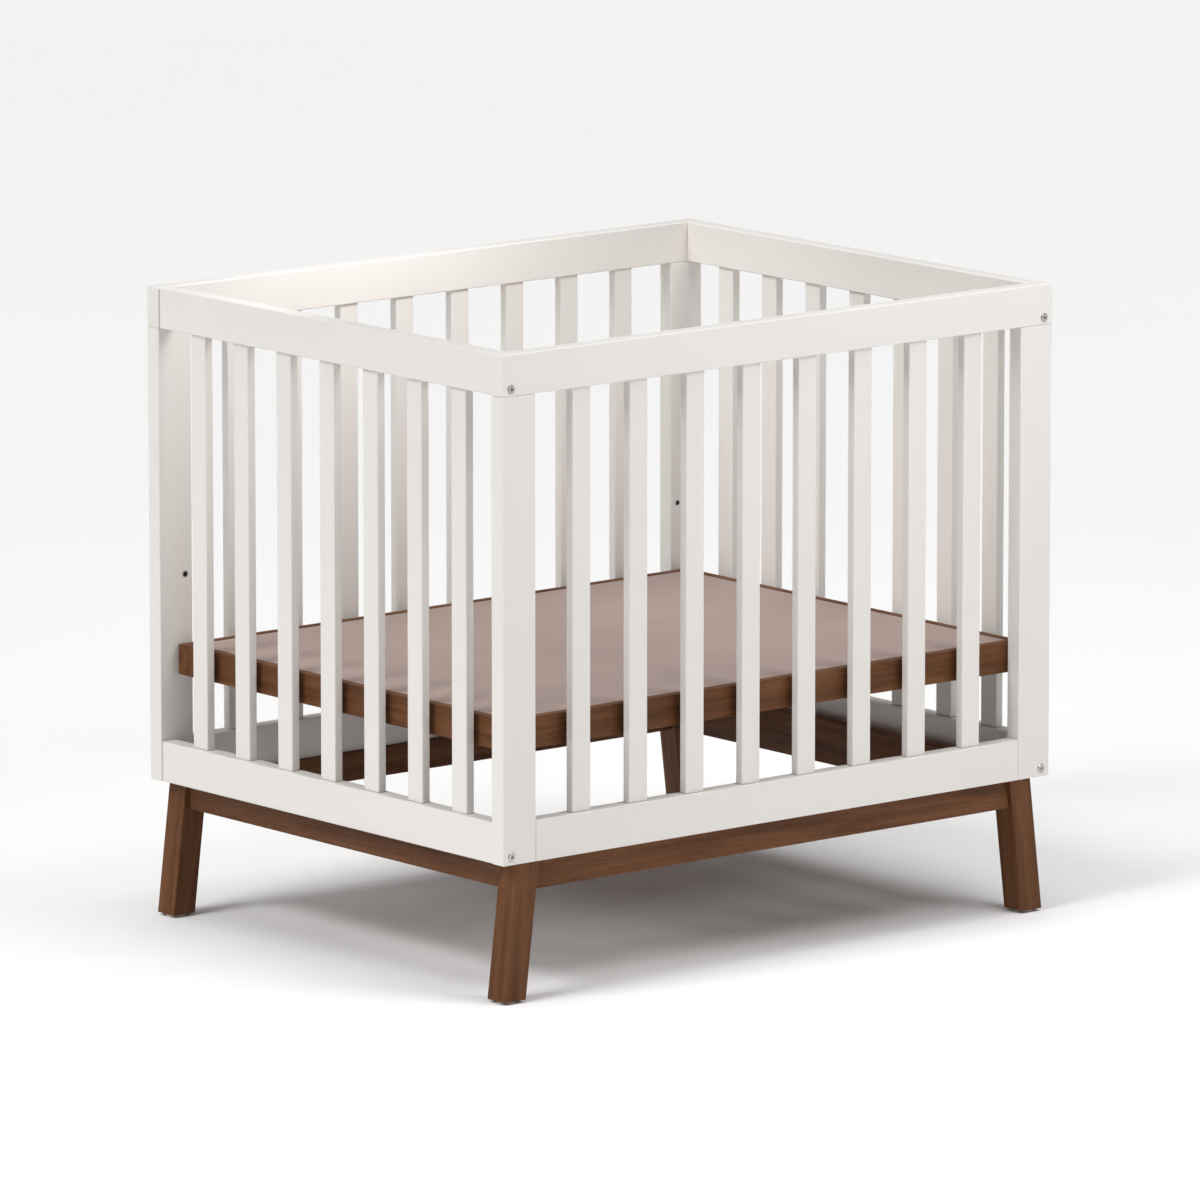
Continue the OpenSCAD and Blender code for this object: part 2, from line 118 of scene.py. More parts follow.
class CribSizes(bpy.types.PropertyGroup):
    """Sizes of the details that the modelled pieces add to the frame."""

    panel_ease: bpy.props.FloatProperty(
        name="Panel Edges", description="Rounding along the edges of the white rails, posts and slats",
        default=0.0015, min=0.0002, unit="LENGTH")
    base_ease: bpy.props.FloatProperty(
        name="Base Edges", description="Rounding along the edges of the legs and aprons",
        default=0.0014, min=0.0002, unit="LENGTH")
    platform_ease: bpy.props.FloatProperty(
        name="Platform Edges",
        description="Rounding along the edges of the platform's rails and battens",
        default=0.0012, min=0.0002, unit="LENGTH")
    board_ease: bpy.props.FloatProperty(
        name="Board Edges", description="Rounding along the edges of the platform's board",
        default=0.0006, min=0.0001, unit="LENGTH")
    leg_splay: bpy.props.FloatProperty(
        name="Leg Splay", description="Outward lean of the legs along the crib",
        default=math.radians(7), subtype="ANGLE")
    bolt_head: bpy.props.FloatProperty(
        name="Bolt Head", description="Diameter of a frame bolt's head",
        default=0.011, unit="LENGTH")
    bolt_head_height: bpy.props.FloatProperty(
        name="Bolt Head Height", description="Height of a frame bolt's head",
        default=0.003, unit="LENGTH")
    bolt_chamfer: bpy.props.FloatProperty(
        name="Bolt Chamfer", description="Chamfer round the rim of a frame bolt's head",
        default=0.0006, unit="LENGTH")
    bolt_socket: bpy.props.FloatProperty(
        name="Bolt Socket", description="Width of a frame bolt's hexagon socket, across its flats",
        default=0.004, unit="LENGTH")
    bolt_socket_depth: bpy.props.FloatProperty(
        name="Bolt Socket Depth", description="Depth of a frame bolt's hexagon socket",
        default=0.0021, unit="LENGTH")
    bolt_shank: bpy.props.FloatProperty(
        name="Bolt Shank", description="Diameter of the bolts' shanks",
        default=0.006, unit="LENGTH")
    hole_play: bpy.props.FloatProperty(
        name="Hole Play", description="How much wider a bolt's hole is than the bolt",
        default=0.0004, unit="LENGTH")
    insert: bpy.props.FloatProperty(
        name="Insert", description="Diameter of the threaded inserts",
        default=0.009, unit="LENGTH")
    cap_head: bpy.props.FloatProperty(
        name="Cap Screw Head", description="Diameter of the heads of the leg bolts and platform bolts",
        default=0.010, unit="LENGTH")
    nut: bpy.props.FloatProperty(
        name="Barrel Nut", description="Diameter of the barrel nuts",
        default=0.010, unit="LENGTH")
    screw_head: bpy.props.FloatProperty(
        name="Screw Head", description="Diameter of the platform screws' countersunk heads",
        default=0.007, unit="LENGTH")
    screw_shank: bpy.props.FloatProperty(
        name="Screw Shank", description="Diameter of the platform screws' shanks",
        default=0.004, unit="LENGTH")
    screw_spacing: bpy.props.FloatProperty(
        name="Screw Spacing", description="Distance between the two screws of a platform corner",
        default=0.008, unit="LENGTH")
    rebate: bpy.props.FloatProperty(
        name="Board Rebate",
        description="Depth and width of the rebate that holds the platform's board",
        default=0.006, unit="LENGTH")
    notch_height: bpy.props.FloatProperty(
        name="Key Notch Height",
        description="Height of the notches that let a key reach the platform bolts",
        default=0.022, unit="LENGTH")
    notch_length: bpy.props.FloatProperty(
        name="Key Notch Length",
        description="Length of the notches that let a key reach the platform bolts",
        default=0.040, unit="LENGTH")
    notch_skin: bpy.props.FloatProperty(
        name="Key Notch Skin", description="Wood left outside the notches",
        default=0.007, unit="LENGTH")


class CribFinish(bpy.types.PropertyGroup):
    """Colours and gloss of the crib's finishes."""

    paint: bpy.props.FloatVectorProperty(
        name="Paint", description="White paint of the panels",
        default=(0.765, 0.735, 0.703), size=3, subtype="COLOR", min=0, max=1)
    paint_shade: bpy.props.FloatVectorProperty(
        name="Paint Shade", description="Slightly deeper tone that drifts through the paint",
        default=(0.745, 0.712, 0.676), size=3, subtype="COLOR", min=0, max=1)
    paint_roughness: bpy.props.FloatProperty(
        name="Paint Roughness", description="Roughness of the satin paint",
        default=0.42, min=0, max=1, subtype="FACTOR")
    walnut_dark: bpy.props.FloatVectorProperty(
        name="Walnut Dark", description="Darkest lines of the stained grain",
        default=(0.102, 0.038, 0.0135), size=3, subtype="COLOR", min=0, max=1)
    walnut_mid: bpy.props.FloatVectorProperty(
        name="Walnut Middle", description="Main tone of the stained wood",
        default=(0.150, 0.058, 0.021), size=3, subtype="COLOR", min=0, max=1)
    walnut_light: bpy.props.FloatVectorProperty(
        name="Walnut Light", description="Lightest lines of the stained grain",
        default=(0.200, 0.082, 0.032), size=3, subtype="COLOR", min=0, max=1)
    walnut_roughness: bpy.props.FloatProperty(
        name="Walnut Roughness", description="Roughness of the satin stain",
        default=0.48, min=0, max=1, subtype="FACTOR")
    laminate: bpy.props.FloatVectorProperty(
        name="Laminate", description="Taupe face of the platform's board",
        default=(0.375, 0.290, 0.262), size=3, subtype="COLOR", min=0, max=1)
    laminate_shade: bpy.props.FloatVectorProperty(
        name="Laminate Shade", description="Deeper flecks of the board's face",
        default=(0.340, 0.258, 0.232), size=3, subtype="COLOR", min=0, max=1)
    steel: bpy.props.FloatVectorProperty(
        name="Steel", description="Bright zinc of the bolts, nuts, inserts and screws",
        default=(0.52, 0.515, 0.50), size=3, subtype="COLOR", min=0, max=1)
    beech: bpy.props.FloatVectorProperty(
        name="Beech", description="Bare wood of the dowels",
        default=(0.56, 0.36, 0.20), size=3, subtype="COLOR", min=0, max=1)
    nylon: bpy.props.FloatVectorProperty(
        name="Nylon", description="Natural nylon of the moulded glides under the legs",
        default=(0.66, 0.63, 0.58), size=3, subtype="COLOR", min=0, max=1)


class CribStage(bpy.types.PropertyGroup):
    """Floor, lights and camera."""

    floor: bpy.props.FloatVectorProperty(
        name="Floor", description="Pale studio floor",
        default=(0.95, 0.95, 0.95), size=3, subtype="COLOR", min=0, max=1)
    sky_strength: bpy.props.FloatProperty(
        name="Studio Fill", description="Strength of the even light from all round",
        default=0.19, min=0)
    key_strength: bpy.props.FloatProperty(
        name="Key Strength", description="Strength of the key light, from the left",
        default=1.80, min=0)
    key_elevation: bpy.props.FloatProperty(
        name="Key Elevation", description="Height angle of the key light",
        default=math.radians(42), subtype="ANGLE")
    light_softness: bpy.props.FloatProperty(
        name="Light Softness",
        description="Angle over which the key light spreads, and half of the top light's angle",
        default=math.radians(26), subtype="ANGLE")
    top_strength: bpy.props.FloatProperty(
        name="Top Strength", description="Strength of the broad light from straight above",
        default=1.25, min=0)
    softbox_power: bpy.props.FloatProperty(
        name="Softbox Power", description="Power of the softbox above the front, in watts",
        default=18.5, min=0)
    inner_power: bpy.props.FloatProperty(
        name="Inner Softbox Power",
        description="Power of the strip softbox over the rear rail, in watts",
        default=0.85, min=0)
    azimuth: bpy.props.FloatProperty(
        name="Azimuth", description="Camera's turn round the crib, from straight in front",
        default=math.radians(-39.6), subtype="ANGLE")
    elevation: bpy.props.FloatProperty(
        name="Elevation", description="Camera's height angle above the crib",
        default=math.radians(10.5), subtype="ANGLE")
    distance: bpy.props.FloatProperty(
        name="Distance", description="From the camera to the middle of the crib",
        default=14.08, min=1, unit="LENGTH")
    lens: bpy.props.FloatProperty(
        name="Lens", description="Focal length in millimetres", default=345, min=20)


# ---- Modelling helpers ----


def start_clean():
    """Deselects everything, because an operator acts on all that is selected."""
    bpy.ops.object.select_all(action="DESELECT")


def make_active(piece):
    """Makes a piece the only one selected, and the active one."""
    start_clean()
    piece.select_set(True)
    bpy.context.view_layer.objects.active = piece


def add_bar(name, low, high):
    """Adds a square-edged bar that fills the box between two corners."""
    start_clean()
    bpy.ops.mesh.primitive_cube_add(size=1, location=(low + high) / 2, scale=high - low)
    bar = bpy.context.object
    bar.name = name
    bar.data.name = name
    bpy.ops.object.transform_apply(location=True, rotation=True, scale=True)
    return bar


def copy_piece(first, name, shift):
    """Copies a piece with a mesh of its own, and moves the copy's mesh."""
    make_active(first)
    bpy.ops.object.duplicate(linked=False)
    piece = bpy.context.object
    piece.name = name
    piece.data.name = name
    piece.location = shift
    bpy.ops.object.transform_apply(location=True, rotation=True, scale=True)
    return piece


def apply_modifier(piece, kind, **settings):
    """Adds a modifier to a piece, sets it and applies it."""
    make_active(piece)
    bpy.ops.object.modifier_add(type=kind)
    modifier = piece.modifiers[-1]
    for name, value in settings.items():
        setattr(modifier, name, value)
    bpy.ops.object.modifier_apply(modifier=modifier.name)


def ease_edges(piece, width):
    """Rounds every edge at which the surface turns sharply."""
    apply_modifier(piece, "BEVEL", width=width, segments=EASING_STEPS,
                   limit_method="ANGLE", angle_limit=SHARP_TURN)


def cut(piece, tool):
    """Cuts a tool's shape out of a piece, and removes the tool."""
    apply_modifier(piece, "BOOLEAN", operation="DIFFERENCE", solver="EXACT", object=tool)
    bpy.data.objects.remove(tool)


def cut_box(piece, low, high):
    """Cuts the box between two corners out of a piece."""
    cut(piece, add_bar("tool", low, high))


def drill(piece, start, end, radius, end_radius=None):
    """Bores a round hole into a piece between two points. A second radius makes it taper."""
    start_clean()
    axis = end - start
    turn = axis.to_track_quat("Z", "Y").to_euler()
    bpy.ops.mesh.primitive_cone_add(
        vertices=ROUND_SIDES, radius1=radius, radius2=radius if end_radius is None else end_radius,
        depth=axis.length, location=(start + end) / 2, rotation=turn)
    cut(piece, bpy.context.object)


def edit(piece, part, test):
    """Enters edit mode with the piece's faces or vertices that pass a test selected."""
    make_active(piece)
    bpy.ops.object.mode_set(mode="EDIT")
    bpy.ops.mesh.select_mode(type="FACE" if part == "polygons" else "VERT")
    bpy.ops.mesh.select_all(action="DESELECT")
    bpy.ops.object.mode_set(mode="OBJECT")
    for element in getattr(piece.data, part):
        element.select = test(element)
    bpy.ops.object.mode_set(mode="EDIT")


def leave_edit():
    """Goes back to object mode, with the changes stored in the mesh."""
    bpy.ops.object.mode_set(mode="OBJECT")


def raise_top(piece, plane_y, side, lift):
    """Draws up the part of a bar's top that lies on one side of a plane across Y."""
    def on_top(face):
        return face.normal.z > 0.9 and side * (face.center.y - plane_y) > 0

    edit(piece, "polygons", lambda face: True)
    bpy.ops.mesh.bisect(plane_co=(0, plane_y, 0), plane_no=(0, 1, 0))
    leave_edit()
    edit(piece, "polygons", on_top)
    bpy.ops.mesh.extrude_region_move(TRANSFORM_OT_translate={"value": (0, 0, lift)})
    bpy.ops.mesh.select_all(action="SELECT")
    bpy.ops.mesh.dissolve_limited(angle_limit=math.radians(1))
    leave_edit()


def shift_vertices(piece, test, shift):
    """Moves the vertices that pass a test along X."""
    edit(piece, "vertices", lambda vertex: test(vertex.co))
    bpy.ops.transform.translate(value=(shift, 0, 0))
    leave_edit()


def smooth(piece):
    """Shades the rounded edges smoothly and keeps the flats flat."""
    make_active(piece)
    bpy.ops.object.shade_smooth_by_angle(angle=SMOOTH_TURN)
    apply_modifier(piece, "WEIGHTED_NORMAL", keep_sharp=True)


def seed_of(name):
    """A number from 0 to 1 that is the same each time for one name."""
    return random.Random(name).random()


def mark_board(piece):
    """Stores a number on the piece, so that each board has its own stretch of grain."""
    attribute = piece.data.attributes.new("board", "FLOAT", "POINT")
    value = seed_of(piece.name)
    attribute.data.foreach_set("value", [value] * len(piece.data.vertices))


def hand_over(piece, body, slot, material, *nodes):
    """Finishes a piece: its shading, its finish, the body it rides on and the nodes it stands for."""
    smooth(piece)
    mark_board(piece)
    piece.data.materials.clear()
    piece.data.materials.append(material)
    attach(piece, body)
    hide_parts(*nodes)


def corner_of(node, diameter):
    """Where a node's round parts lie: how far along X and Y, and their lowest and highest Z."""
    low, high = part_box(node)
    radius = diameter / 2
    return high.x - radius, high.y, low.z + radius, high.z - radius


# ---- Materials ----


class Shader:
    """A material's node tree, with short ways to add and join nodes."""

    def __init__(self, name):
        self.material = bpy.data.materials.new(name)
        self.material.use_nodes = True
        self.tree = self.material.node_tree
        self.surface = self.tree.nodes["Principled BSDF"]

    def add(self, kind, inputs=None, **settings):
        """Adds a node, with its inputs joined or set."""
        node = self.tree.nodes.new("ShaderNode" + kind)
        for name, value in settings.items():
            setattr(node, name, value)
        for name, value in (inputs or {}).items():
            if isinstance(value, bpy.types.NodeSocket):
                self.tree.links.new(value, node.inputs[name])
            else:
                node.inputs[name].default_value = value
        return node

    def join(self, socket, name):
        """Joins an output to an input of the surface."""
        self.tree.links.new(socket, self.surface.inputs[name])

    def set(self, **values):
        """Sets inputs of the surface that are the same all over."""
        for name, value in values.items():
            self.surface.inputs[name.replace("_", " ")].default_value = value

    def coordinates(self, turn=(0, 0, 0)):
        """Object coordinates, turned so that the grain runs along X."""
        place = self.add("TexCoord").outputs["Object"]
        return self.add("Mapping", {"Vector": place, "Rotation": turn}).outputs["Vector"]

    def own_stretch(self, place):
        """Moves the pattern by the piece's own number, so that no two boards match."""
        board = self.add("Attribute", attribute_name="board").outputs["Fac"]
        shift = self.add("VectorMath", {0: FARTHEST_STRETCH, "Scale": board}, operation="SCALE")
        moved = self.add("VectorMath", {0: place, 1: shift.outputs[0]}, operation="ADD")
        return moved.outputs[0], board

    def noise(self, place, stretch, scale, detail=4.0, roughness=0.55, distortion=0.0):
        spread = self.add("Mapping", {"Vector": place, "Scale": stretch}).outputs["Vector"]
        return self.add("TexNoise", {
            "Vector": spread, "Scale": scale, "Detail": detail,
            "Roughness": roughness, "Distortion": distortion}).outputs["Fac"]

    def ramp(self, factor, stops):
        node = self.add("ValToRGB", {"Fac": factor})
        elements = node.color_ramp.elements
        while len(elements) < len(stops):
            elements.new(1)
        for element, (position, color) in zip(elements, stops):
            element.position = position
            element.color = (*color, 1)
        return node.outputs["Color"]

    def span(self, factor, low, high):
        """Spreads a noise's middle range over the values between two numbers."""
        limits = {"From Min": 0.3, "From Max": 0.7, "To Min": low, "To Max": high}
        return self.add("MapRange", {"Value": factor, **limits}).outputs["Result"]

    def darken(self, factor, tone, shade):
        """Multiplies a tone by a shade."""
        inputs = {0: factor, 6: tone, 7: shade}
        return self.add("Mix", inputs, data_type="RGBA", blend_type="MULTIPLY").outputs[2]

    def bump(self, heights):
        """Adds one bump after another, each as (height, depth in metres, strength)."""
        normal = None
        for height, depth, strength in heights:
            inputs = {"Height": height, "Distance": depth, "Strength": strength}
            if normal is not None:
                inputs["Normal"] = normal
            normal = self.add("Bump", inputs).outputs["Normal"]
        self.join(normal, "Normal")


def grey(value):
    """A neutral colour."""
    return (value, value, value)


def white_paint(run):
    """Satin white paint over solid wood, with a trace of the grain that runs under it."""
    colors = bpy.context.scene.crib_finish
    shader = Shader("white_paint_" + run)
    place, _ = shader.own_stretch(shader.coordinates(GRAIN_TURNS[run]))
    drift = shader.noise(place, (1, 4, 4), 3.0, detail=3)
    grain = shader.noise(place, (1, 45, 45), 14, detail=6, roughness=0.6)
    peel = shader.noise(place, (1, 1, 1), 620, detail=2)
    tone = shader.ramp(drift, [(0.35, colors.paint_shade), (0.62, colors.paint)])
    shader.join(tone, "Base Color")
    low, high = colors.paint_roughness - 0.04, colors.paint_roughness + 0.05
    shader.join(shader.span(drift, low, high), "Roughness")
    shader.set(IOR=1.48, Coat_Weight=0.0)
    shader.bump([(grain, 0.00025, 0.25), (peel, 0.00006, 0.5)])
    return shader.material


def walnut(run, turn=None):
    """Satin walnut stain, with straight figure, fine fibres and short dark pores along the grain."""
    colors = bpy.context.scene.crib_finish
    shader = Shader("walnut_" + run)
    place, board = shader.own_stretch(shader.coordinates(turn or GRAIN_TURNS[run]))
    figure = shader.noise(place, (1, 18, 18), 5.0, detail=4, roughness=0.5, distortion=0.4)
    fibres = shader.noise(place, (1, 40, 40), 26, detail=6, roughness=0.65)
    pores = shader.noise(place, (1, 24, 24), 85, detail=3, roughness=0.4)
    tone = shader.ramp(figure, [
        (0.30, colors.walnut_dark), (0.50, colors.walnut_mid), (0.72, colors.walnut_light)])
    streaks = shader.ramp(fibres, [(0.34, grey(0.64)), (0.62, grey(1.0))])
    tone = shader.darken(0.75, tone, streaks)
    specks = shader.ramp(pores, [(0.33, grey(0.52)), (0.41, grey(1.0))])
    tone = shader.darken(0.7, tone, specks)
    cast = shader.ramp(board, [(0.0, grey(0.90)), (1.0, grey(1.0))])
    shader.join(shader.darken(1.0, tone, cast), "Base Color")
    low, high = colors.walnut_roughness - 0.06, colors.walnut_roughness + 0.10
    shader.join(shader.span(fibres, high, low), "Roughness")
    shader.set(IOR=1.46, Specular_IOR_Level=0.2)
    shader.bump([(fibres, 0.0003, 0.35), (pores, 0.0003, 0.3)])
    return shader.material


def taupe_laminate():
    """Matt taupe laminate, with faint flecks that run along the board."""
    colors = bpy.context.scene.crib_finish
    shader = Shader("taupe_laminate")
    place = shader.coordinates()
    clouds = shader.noise(place, (1, 3, 1), 4.0, detail=3)
    flecks = shader.noise(place, (1, 14, 14), 55, detail=5, roughness=0.65)
    tooth = shader.noise(place, (1, 1, 1), 1100, detail=2)
    tone = shader.ramp(flecks, [(0.35, colors.laminate_shade), (0.60, colors.laminate)])
    shade = shader.ramp(clouds, [(0.30, grey(0.95)), (0.70, grey(1.0))])
    shader.join(shader.darken(1.0, tone, shade), "Base Color")
    shader.join(shader.span(flecks, 0.50, 0.60), "Roughness")
    shader.set(IOR=1.5, Specular_IOR_Level=0.25)
    shader.bump([(flecks, 0.00008, 0.3), (tooth, 0.00005, 0.4)])
    return shader.material


def zinc_plate():
    """Bright zinc plate with fine turning marks and a little mottle."""
    colors = bpy.context.scene.crib_finish
    shader = Shader("zinc_plate")
    place = shader.coordinates()
    mottle = shader.noise(place, (1, 1, 1), 260, detail=4)
    marks = shader.noise(place, (1, 1, 8), 900, detail=2)
    dull = [channel * 0.86 for channel in colors.steel]
    shader.join(shader.ramp(mottle, [(0.35, dull), (0.65, colors.steel)]), "Base Color")
    shader.join(shader.span(marks, 0.26, 0.40), "Roughness")
    shader.set(Metallic=1.0)
    shader.bump([(marks, 0.00002, 0.4)])
    return shader.material


def bare_beech():
    """Bare beech with the short flecks of its rays."""
    colors = bpy.context.scene.crib_finish
    shader = Shader("bare_beech")
    place = shader.coordinates()
    rays = shader.noise(place, (1, 6, 6), 240, detail=4)
    dark = [channel * 0.74 for channel in colors.beech]
    shader.join(shader.ramp(rays, [(0.36, dark), (0.58, colors.beech)]), "Base Color")
    shader.join(shader.span(rays, 0.6, 0.72), "Roughness")
    shader.bump([(rays, 0.0001, 0.4)])
    return shader.material


def moulded_nylon():
    """Natural white nylon with a fine spark-eroded grain."""
    colors = bpy.context.scene.crib_finish
    shader = Shader("moulded_nylon")
    place = shader.coordinates()
    grain = shader.noise(place, (1, 1, 1), 1400, detail=2)
    light = [channel * 1.1 for channel in colors.nylon]
    shader.join(shader.ramp(grain, [(0.35, colors.nylon), (0.65, light)]), "Base Color")
    shader.join(shader.span(grain, 0.5, 0.62), "Roughness")
    shader.bump([(grain, 0.00006, 0.5)])
    return shader.material


def finish(make, *options):
    """A finish, made the first time it is asked for."""
    if (make, *options) not in FINISHES:
        FINISHES[(make, *options)] = make(*options)
    return FINISHES[(make, *options)]


def paint(run):
    """The white paint on a board that runs one way."""
    return finish(white_paint, run)


def stain(run):
    """The walnut stain on a board that runs one way."""
    return finish(walnut, run)


def leg_stain(end):
    """The stain of a leg, whose grain follows its lean."""
    splay = bpy.context.scene.crib_sizes.leg_splay
    run = "leg_" + END_NAMES[end]
    return finish(walnut, run, (0, math.pi / 2 + end * splay, 0))


# ---- Panels ----


def drill_frame_bolts(piece, end, side, z):
    """Bores a frame bolt's hole, with a recess for its head, through a long panel's corner."""
    sizes = bpy.context.scene.crib_sizes
    x, head_y, _, _ = corner_of("frame_bolts", sizes.bolt_head)
    recess_y = head_y - sizes.bolt_head_height
    tip_y = -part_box("front_bottom_rail")[1].y - OVERCUT

    def bore(start_y, end_y, diameter):
        start = Vector((end * x, side * (start_y + OVERCUT), z))
        drill(piece, start, Vector((end * x, side * end_y, z)), (diameter + sizes.hole_play) / 2)

    bore(head_y, recess_y, sizes.bolt_head)
    bore(recess_y, tip_y, sizes.bolt_shank)


def drill_insert(piece, x, side, z):
    """Bores the blind hole that holds a threaded insert."""
    sizes = bpy.context.scene.crib_sizes
    inner_y = -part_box("front_bottom_rail")[1].y
    deep_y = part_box("threaded_inserts")[1].y
    mouth = Vector((x, side * (inner_y - OVERCUT), z))
    drill(piece, mouth, Vector((x, side * deep_y, z)), sizes.insert / 2)


class CRIB_OT_long_rails(bpy.types.Operator):
    """Model the top and bottom rails of the long panels"""

    bl_idname = "crib.long_rails"
    bl_label = "Long Rails"

    def execute(self, context):
        sizes = context.scene.crib_sizes
        _, _, _, high_z = corner_of("frame_bolts", sizes.bolt_head)
        leg_bolt_x, _, leg_bolt_z, _ = corner_of("leg_bolts", sizes.cap_head)
        for side, side_name in SIDE_NAMES.items():
            node = side_name + "_top_rail"
            rail = add_bar(node + "_painted", *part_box(node))
            ease_edges(rail, sizes.panel_ease)
            for end in END_NAMES:
                drill_frame_bolts(rail, end, side, high_z)
            hand_over(rail, CRIB, "white_paint", paint("x"), node)
            node = side_name + "_bottom_rail"
            rail = add_bar(node + "_painted", *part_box(node))
            ease_edges(rail, sizes.panel_ease)
            for end in END_NAMES:
                drill_insert(rail, end * leg_bolt_x, side, leg_bolt_z)
            hand_over(rail, CRIB, "white_paint", paint("x"), node)
        return {"FINISHED"}


class CRIB_OT_posts(bpy.types.Operator):
    """Model the four corner posts, with the three holes for the platform in each"""

    bl_idname = "crib.posts"
    bl_label = "Corner Posts"

    def execute(self, context):
        sizes = context.scene.crib_sizes
        _, _, low_z, _ = corner_of("frame_bolts", sizes.bolt_head)
        bolt_x, _, bolt_z, _ = corner_of("platform_bolts", sizes.cap_head)
        for side, side_name in SIDE_NAMES.items():
            for end, end_name in END_NAMES.items():
                node = f"{side_name}_{end_name}_post"
                post = add_bar(node + "_painted", *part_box(node))
                ease_edges(post, sizes.panel_ease)
                drill_frame_bolts(post, end, side, low_z)
                for step in (-1, 0, 1):
                    drill_insert(post, end * bolt_x, side, bolt_z + step * HEIGHT_STEP)
                hand_over(post, CRIB, "white_paint", paint("z"), node)
        return {"FINISHED"}


class CRIB_OT_end_rails(bpy.types.Operator):
    """Model the top and bottom rails of the end panels, bored for their bolts and barrel nuts"""

    bl_idname = "crib.end_rails"
    bl_label = "End Rails"

    def execute(self, context):
        sizes = context.scene.crib_sizes
        x, _, low_z, high_z = corner_of("frame_bolts", sizes.bolt_head)
        nuts_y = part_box("barrel_nuts")[1].y
        nut_y = nuts_y - sizes.nut / 2
        tip_y = nuts_y - 2 * sizes.nut
        for end, end_name in END_NAMES.items():
            for level, z in (("bottom", low_z), ("top", high_z)):
                node = f"{end_name}_{level}_rail"
                low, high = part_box(node)
                rail = add_bar(node + "_painted", low, high)
                ease_edges(rail, sizes.panel_ease)
                for side in SIDE_NAMES:
                    mouth = Vector((end * x, side * (high.y + OVERCUT), z))
                    tip = Vector((end * x, side * tip_y, z))
                    drill(rail, mouth, tip, (sizes.bolt_shank + sizes.hole_play) / 2)
                    nut_mouth = Vector((end * x, side * nut_y, low.z - OVERCUT))
                    nut_top = Vector((end * x, side * nut_y, z + NUT_HOLE * sizes.nut))
                    drill(rail, nut_mouth, nut_top, (sizes.nut + sizes.hole_play / 2) / 2)
                hand_over(rail, CRIB, "white_paint", paint("y"), node)
        return {"FINISHED"}


class CRIB_OT_slats(bpy.types.Operator):
    """Model the slats of the four panels, each one a piece of its own"""

    bl_idname = "crib.slats"
    bl_label = "Slats"

    def execute(self, context):
        for side_name in SIDE_NAMES.values():
            self.long_slats(context.scene.crib_sizes, side_name)
        for end_name in END_NAMES.values():
            self.end_slats(context.scene.crib_sizes, end_name + "_slats")
        return {"FINISHED"}

    def slat(self, sizes, name, low, high):
        """Models a slat between the rails, without the tenons that they hide."""
        low_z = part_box("front_bottom_rail")[1].z
        high_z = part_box("front_top_rail")[0].z
        slat = add_bar(name, Vector((low.x, low.y, low_z)), Vector((high.x, high.y, high_z)))
        ease_edges(slat, sizes.panel_ease)
        return slat

    def long_slats(self, sizes, side_name):
        """Models the first slat of a long panel, and copies it to the others' places."""
        nodes = sorted(name for name in frame["nodes"] if name.startswith(side_name + "_slat_"))
        low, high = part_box(nodes[0])
        slats = [self.slat(sizes, nodes[0] + "_painted", low, high)]
        for node in nodes[1:]:
            slats.append(copy_piece(slats[0], node + "_painted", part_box(node)[0] - low))
        for node, slat in zip(nodes, slats):
            hand_over(slat, CRIB, "white_paint", paint("z"), node)

    def end_slats(self, sizes, node):
        """Models the first slat of an end panel, and copies it along the panel."""
        low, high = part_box(node)
        front_low, front_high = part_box("front_slat_1")
        width = front_high.x - front_low.x
        pitch = (high.y - low.y - width) / (END_SLATS - 1)
        slats = [self.slat(sizes, node + "_painted_1", low, Vector((high.x, low.y + width, high.z)))]
        for index in range(1, END_SLATS):
            slats.append(copy_piece(slats[0], f"{node}_painted_{index + 1}", (0, index * pitch, 0)))
        for slat in slats:
            hand_over(slat, CRIB, "white_paint", paint("z"), node)


# ---- Base ----


class CRIB_OT_legs(bpy.types.Operator):
    """Model the splayed legs, with the shoulder that carries the panels"""

    bl_idname = "crib.legs"
    bl_label = "Legs"

    def execute(self, context):
        sizes = context.scene.crib_sizes
        lean = math.tan(sizes.leg_splay)
        panel_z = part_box("front_bottom_rail")[0].z
        inner_y = -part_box("front_bottom_rail")[1].y
        bolt_x, _, bolt_z, _ = corner_of("leg_bolts", sizes.cap_head)
        bolt_end_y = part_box("leg_bolts")[1].y
        for side, side_name in SIDE_NAMES.items():
            for end, end_name in END_NAMES.items():
                node = f"{side_name}_{end_name}_leg"
                low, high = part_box(node)
                width = (high.y - low.y) / math.cos(sizes.leg_splay)
                foot_x = low.x if end == LEFT else high.x
                edges = sorted((foot_x, foot_x - end * width))
                leg = add_bar(node + "_stained", Vector((edges[0], low.y, low.z)),
                              Vector((edges[1], high.y, panel_z)))
                raise_top(leg, side * inner_y, -side, high.z - panel_z)
                for level in (panel_z, high.z):
                    shift_vertices(leg, lambda co: abs(co.z - level) < HAIR,
                                   -end * lean * (level - low.z))
                ease_edges(leg, sizes.base_ease)
                hole_start = Vector((end * bolt_x, side * (bolt_end_y - LEG_HOLE), bolt_z))
                hole_end = Vector((end * bolt_x, side * (bolt_end_y + OVERCUT), bolt_z))
                drill(leg, hole_start, hole_end, (sizes.bolt_shank + sizes.hole_play) / 2)
                hand_over(leg, CRIB, "walnut_stain", leg_stain(end), node)
        return {"FINISHED"}


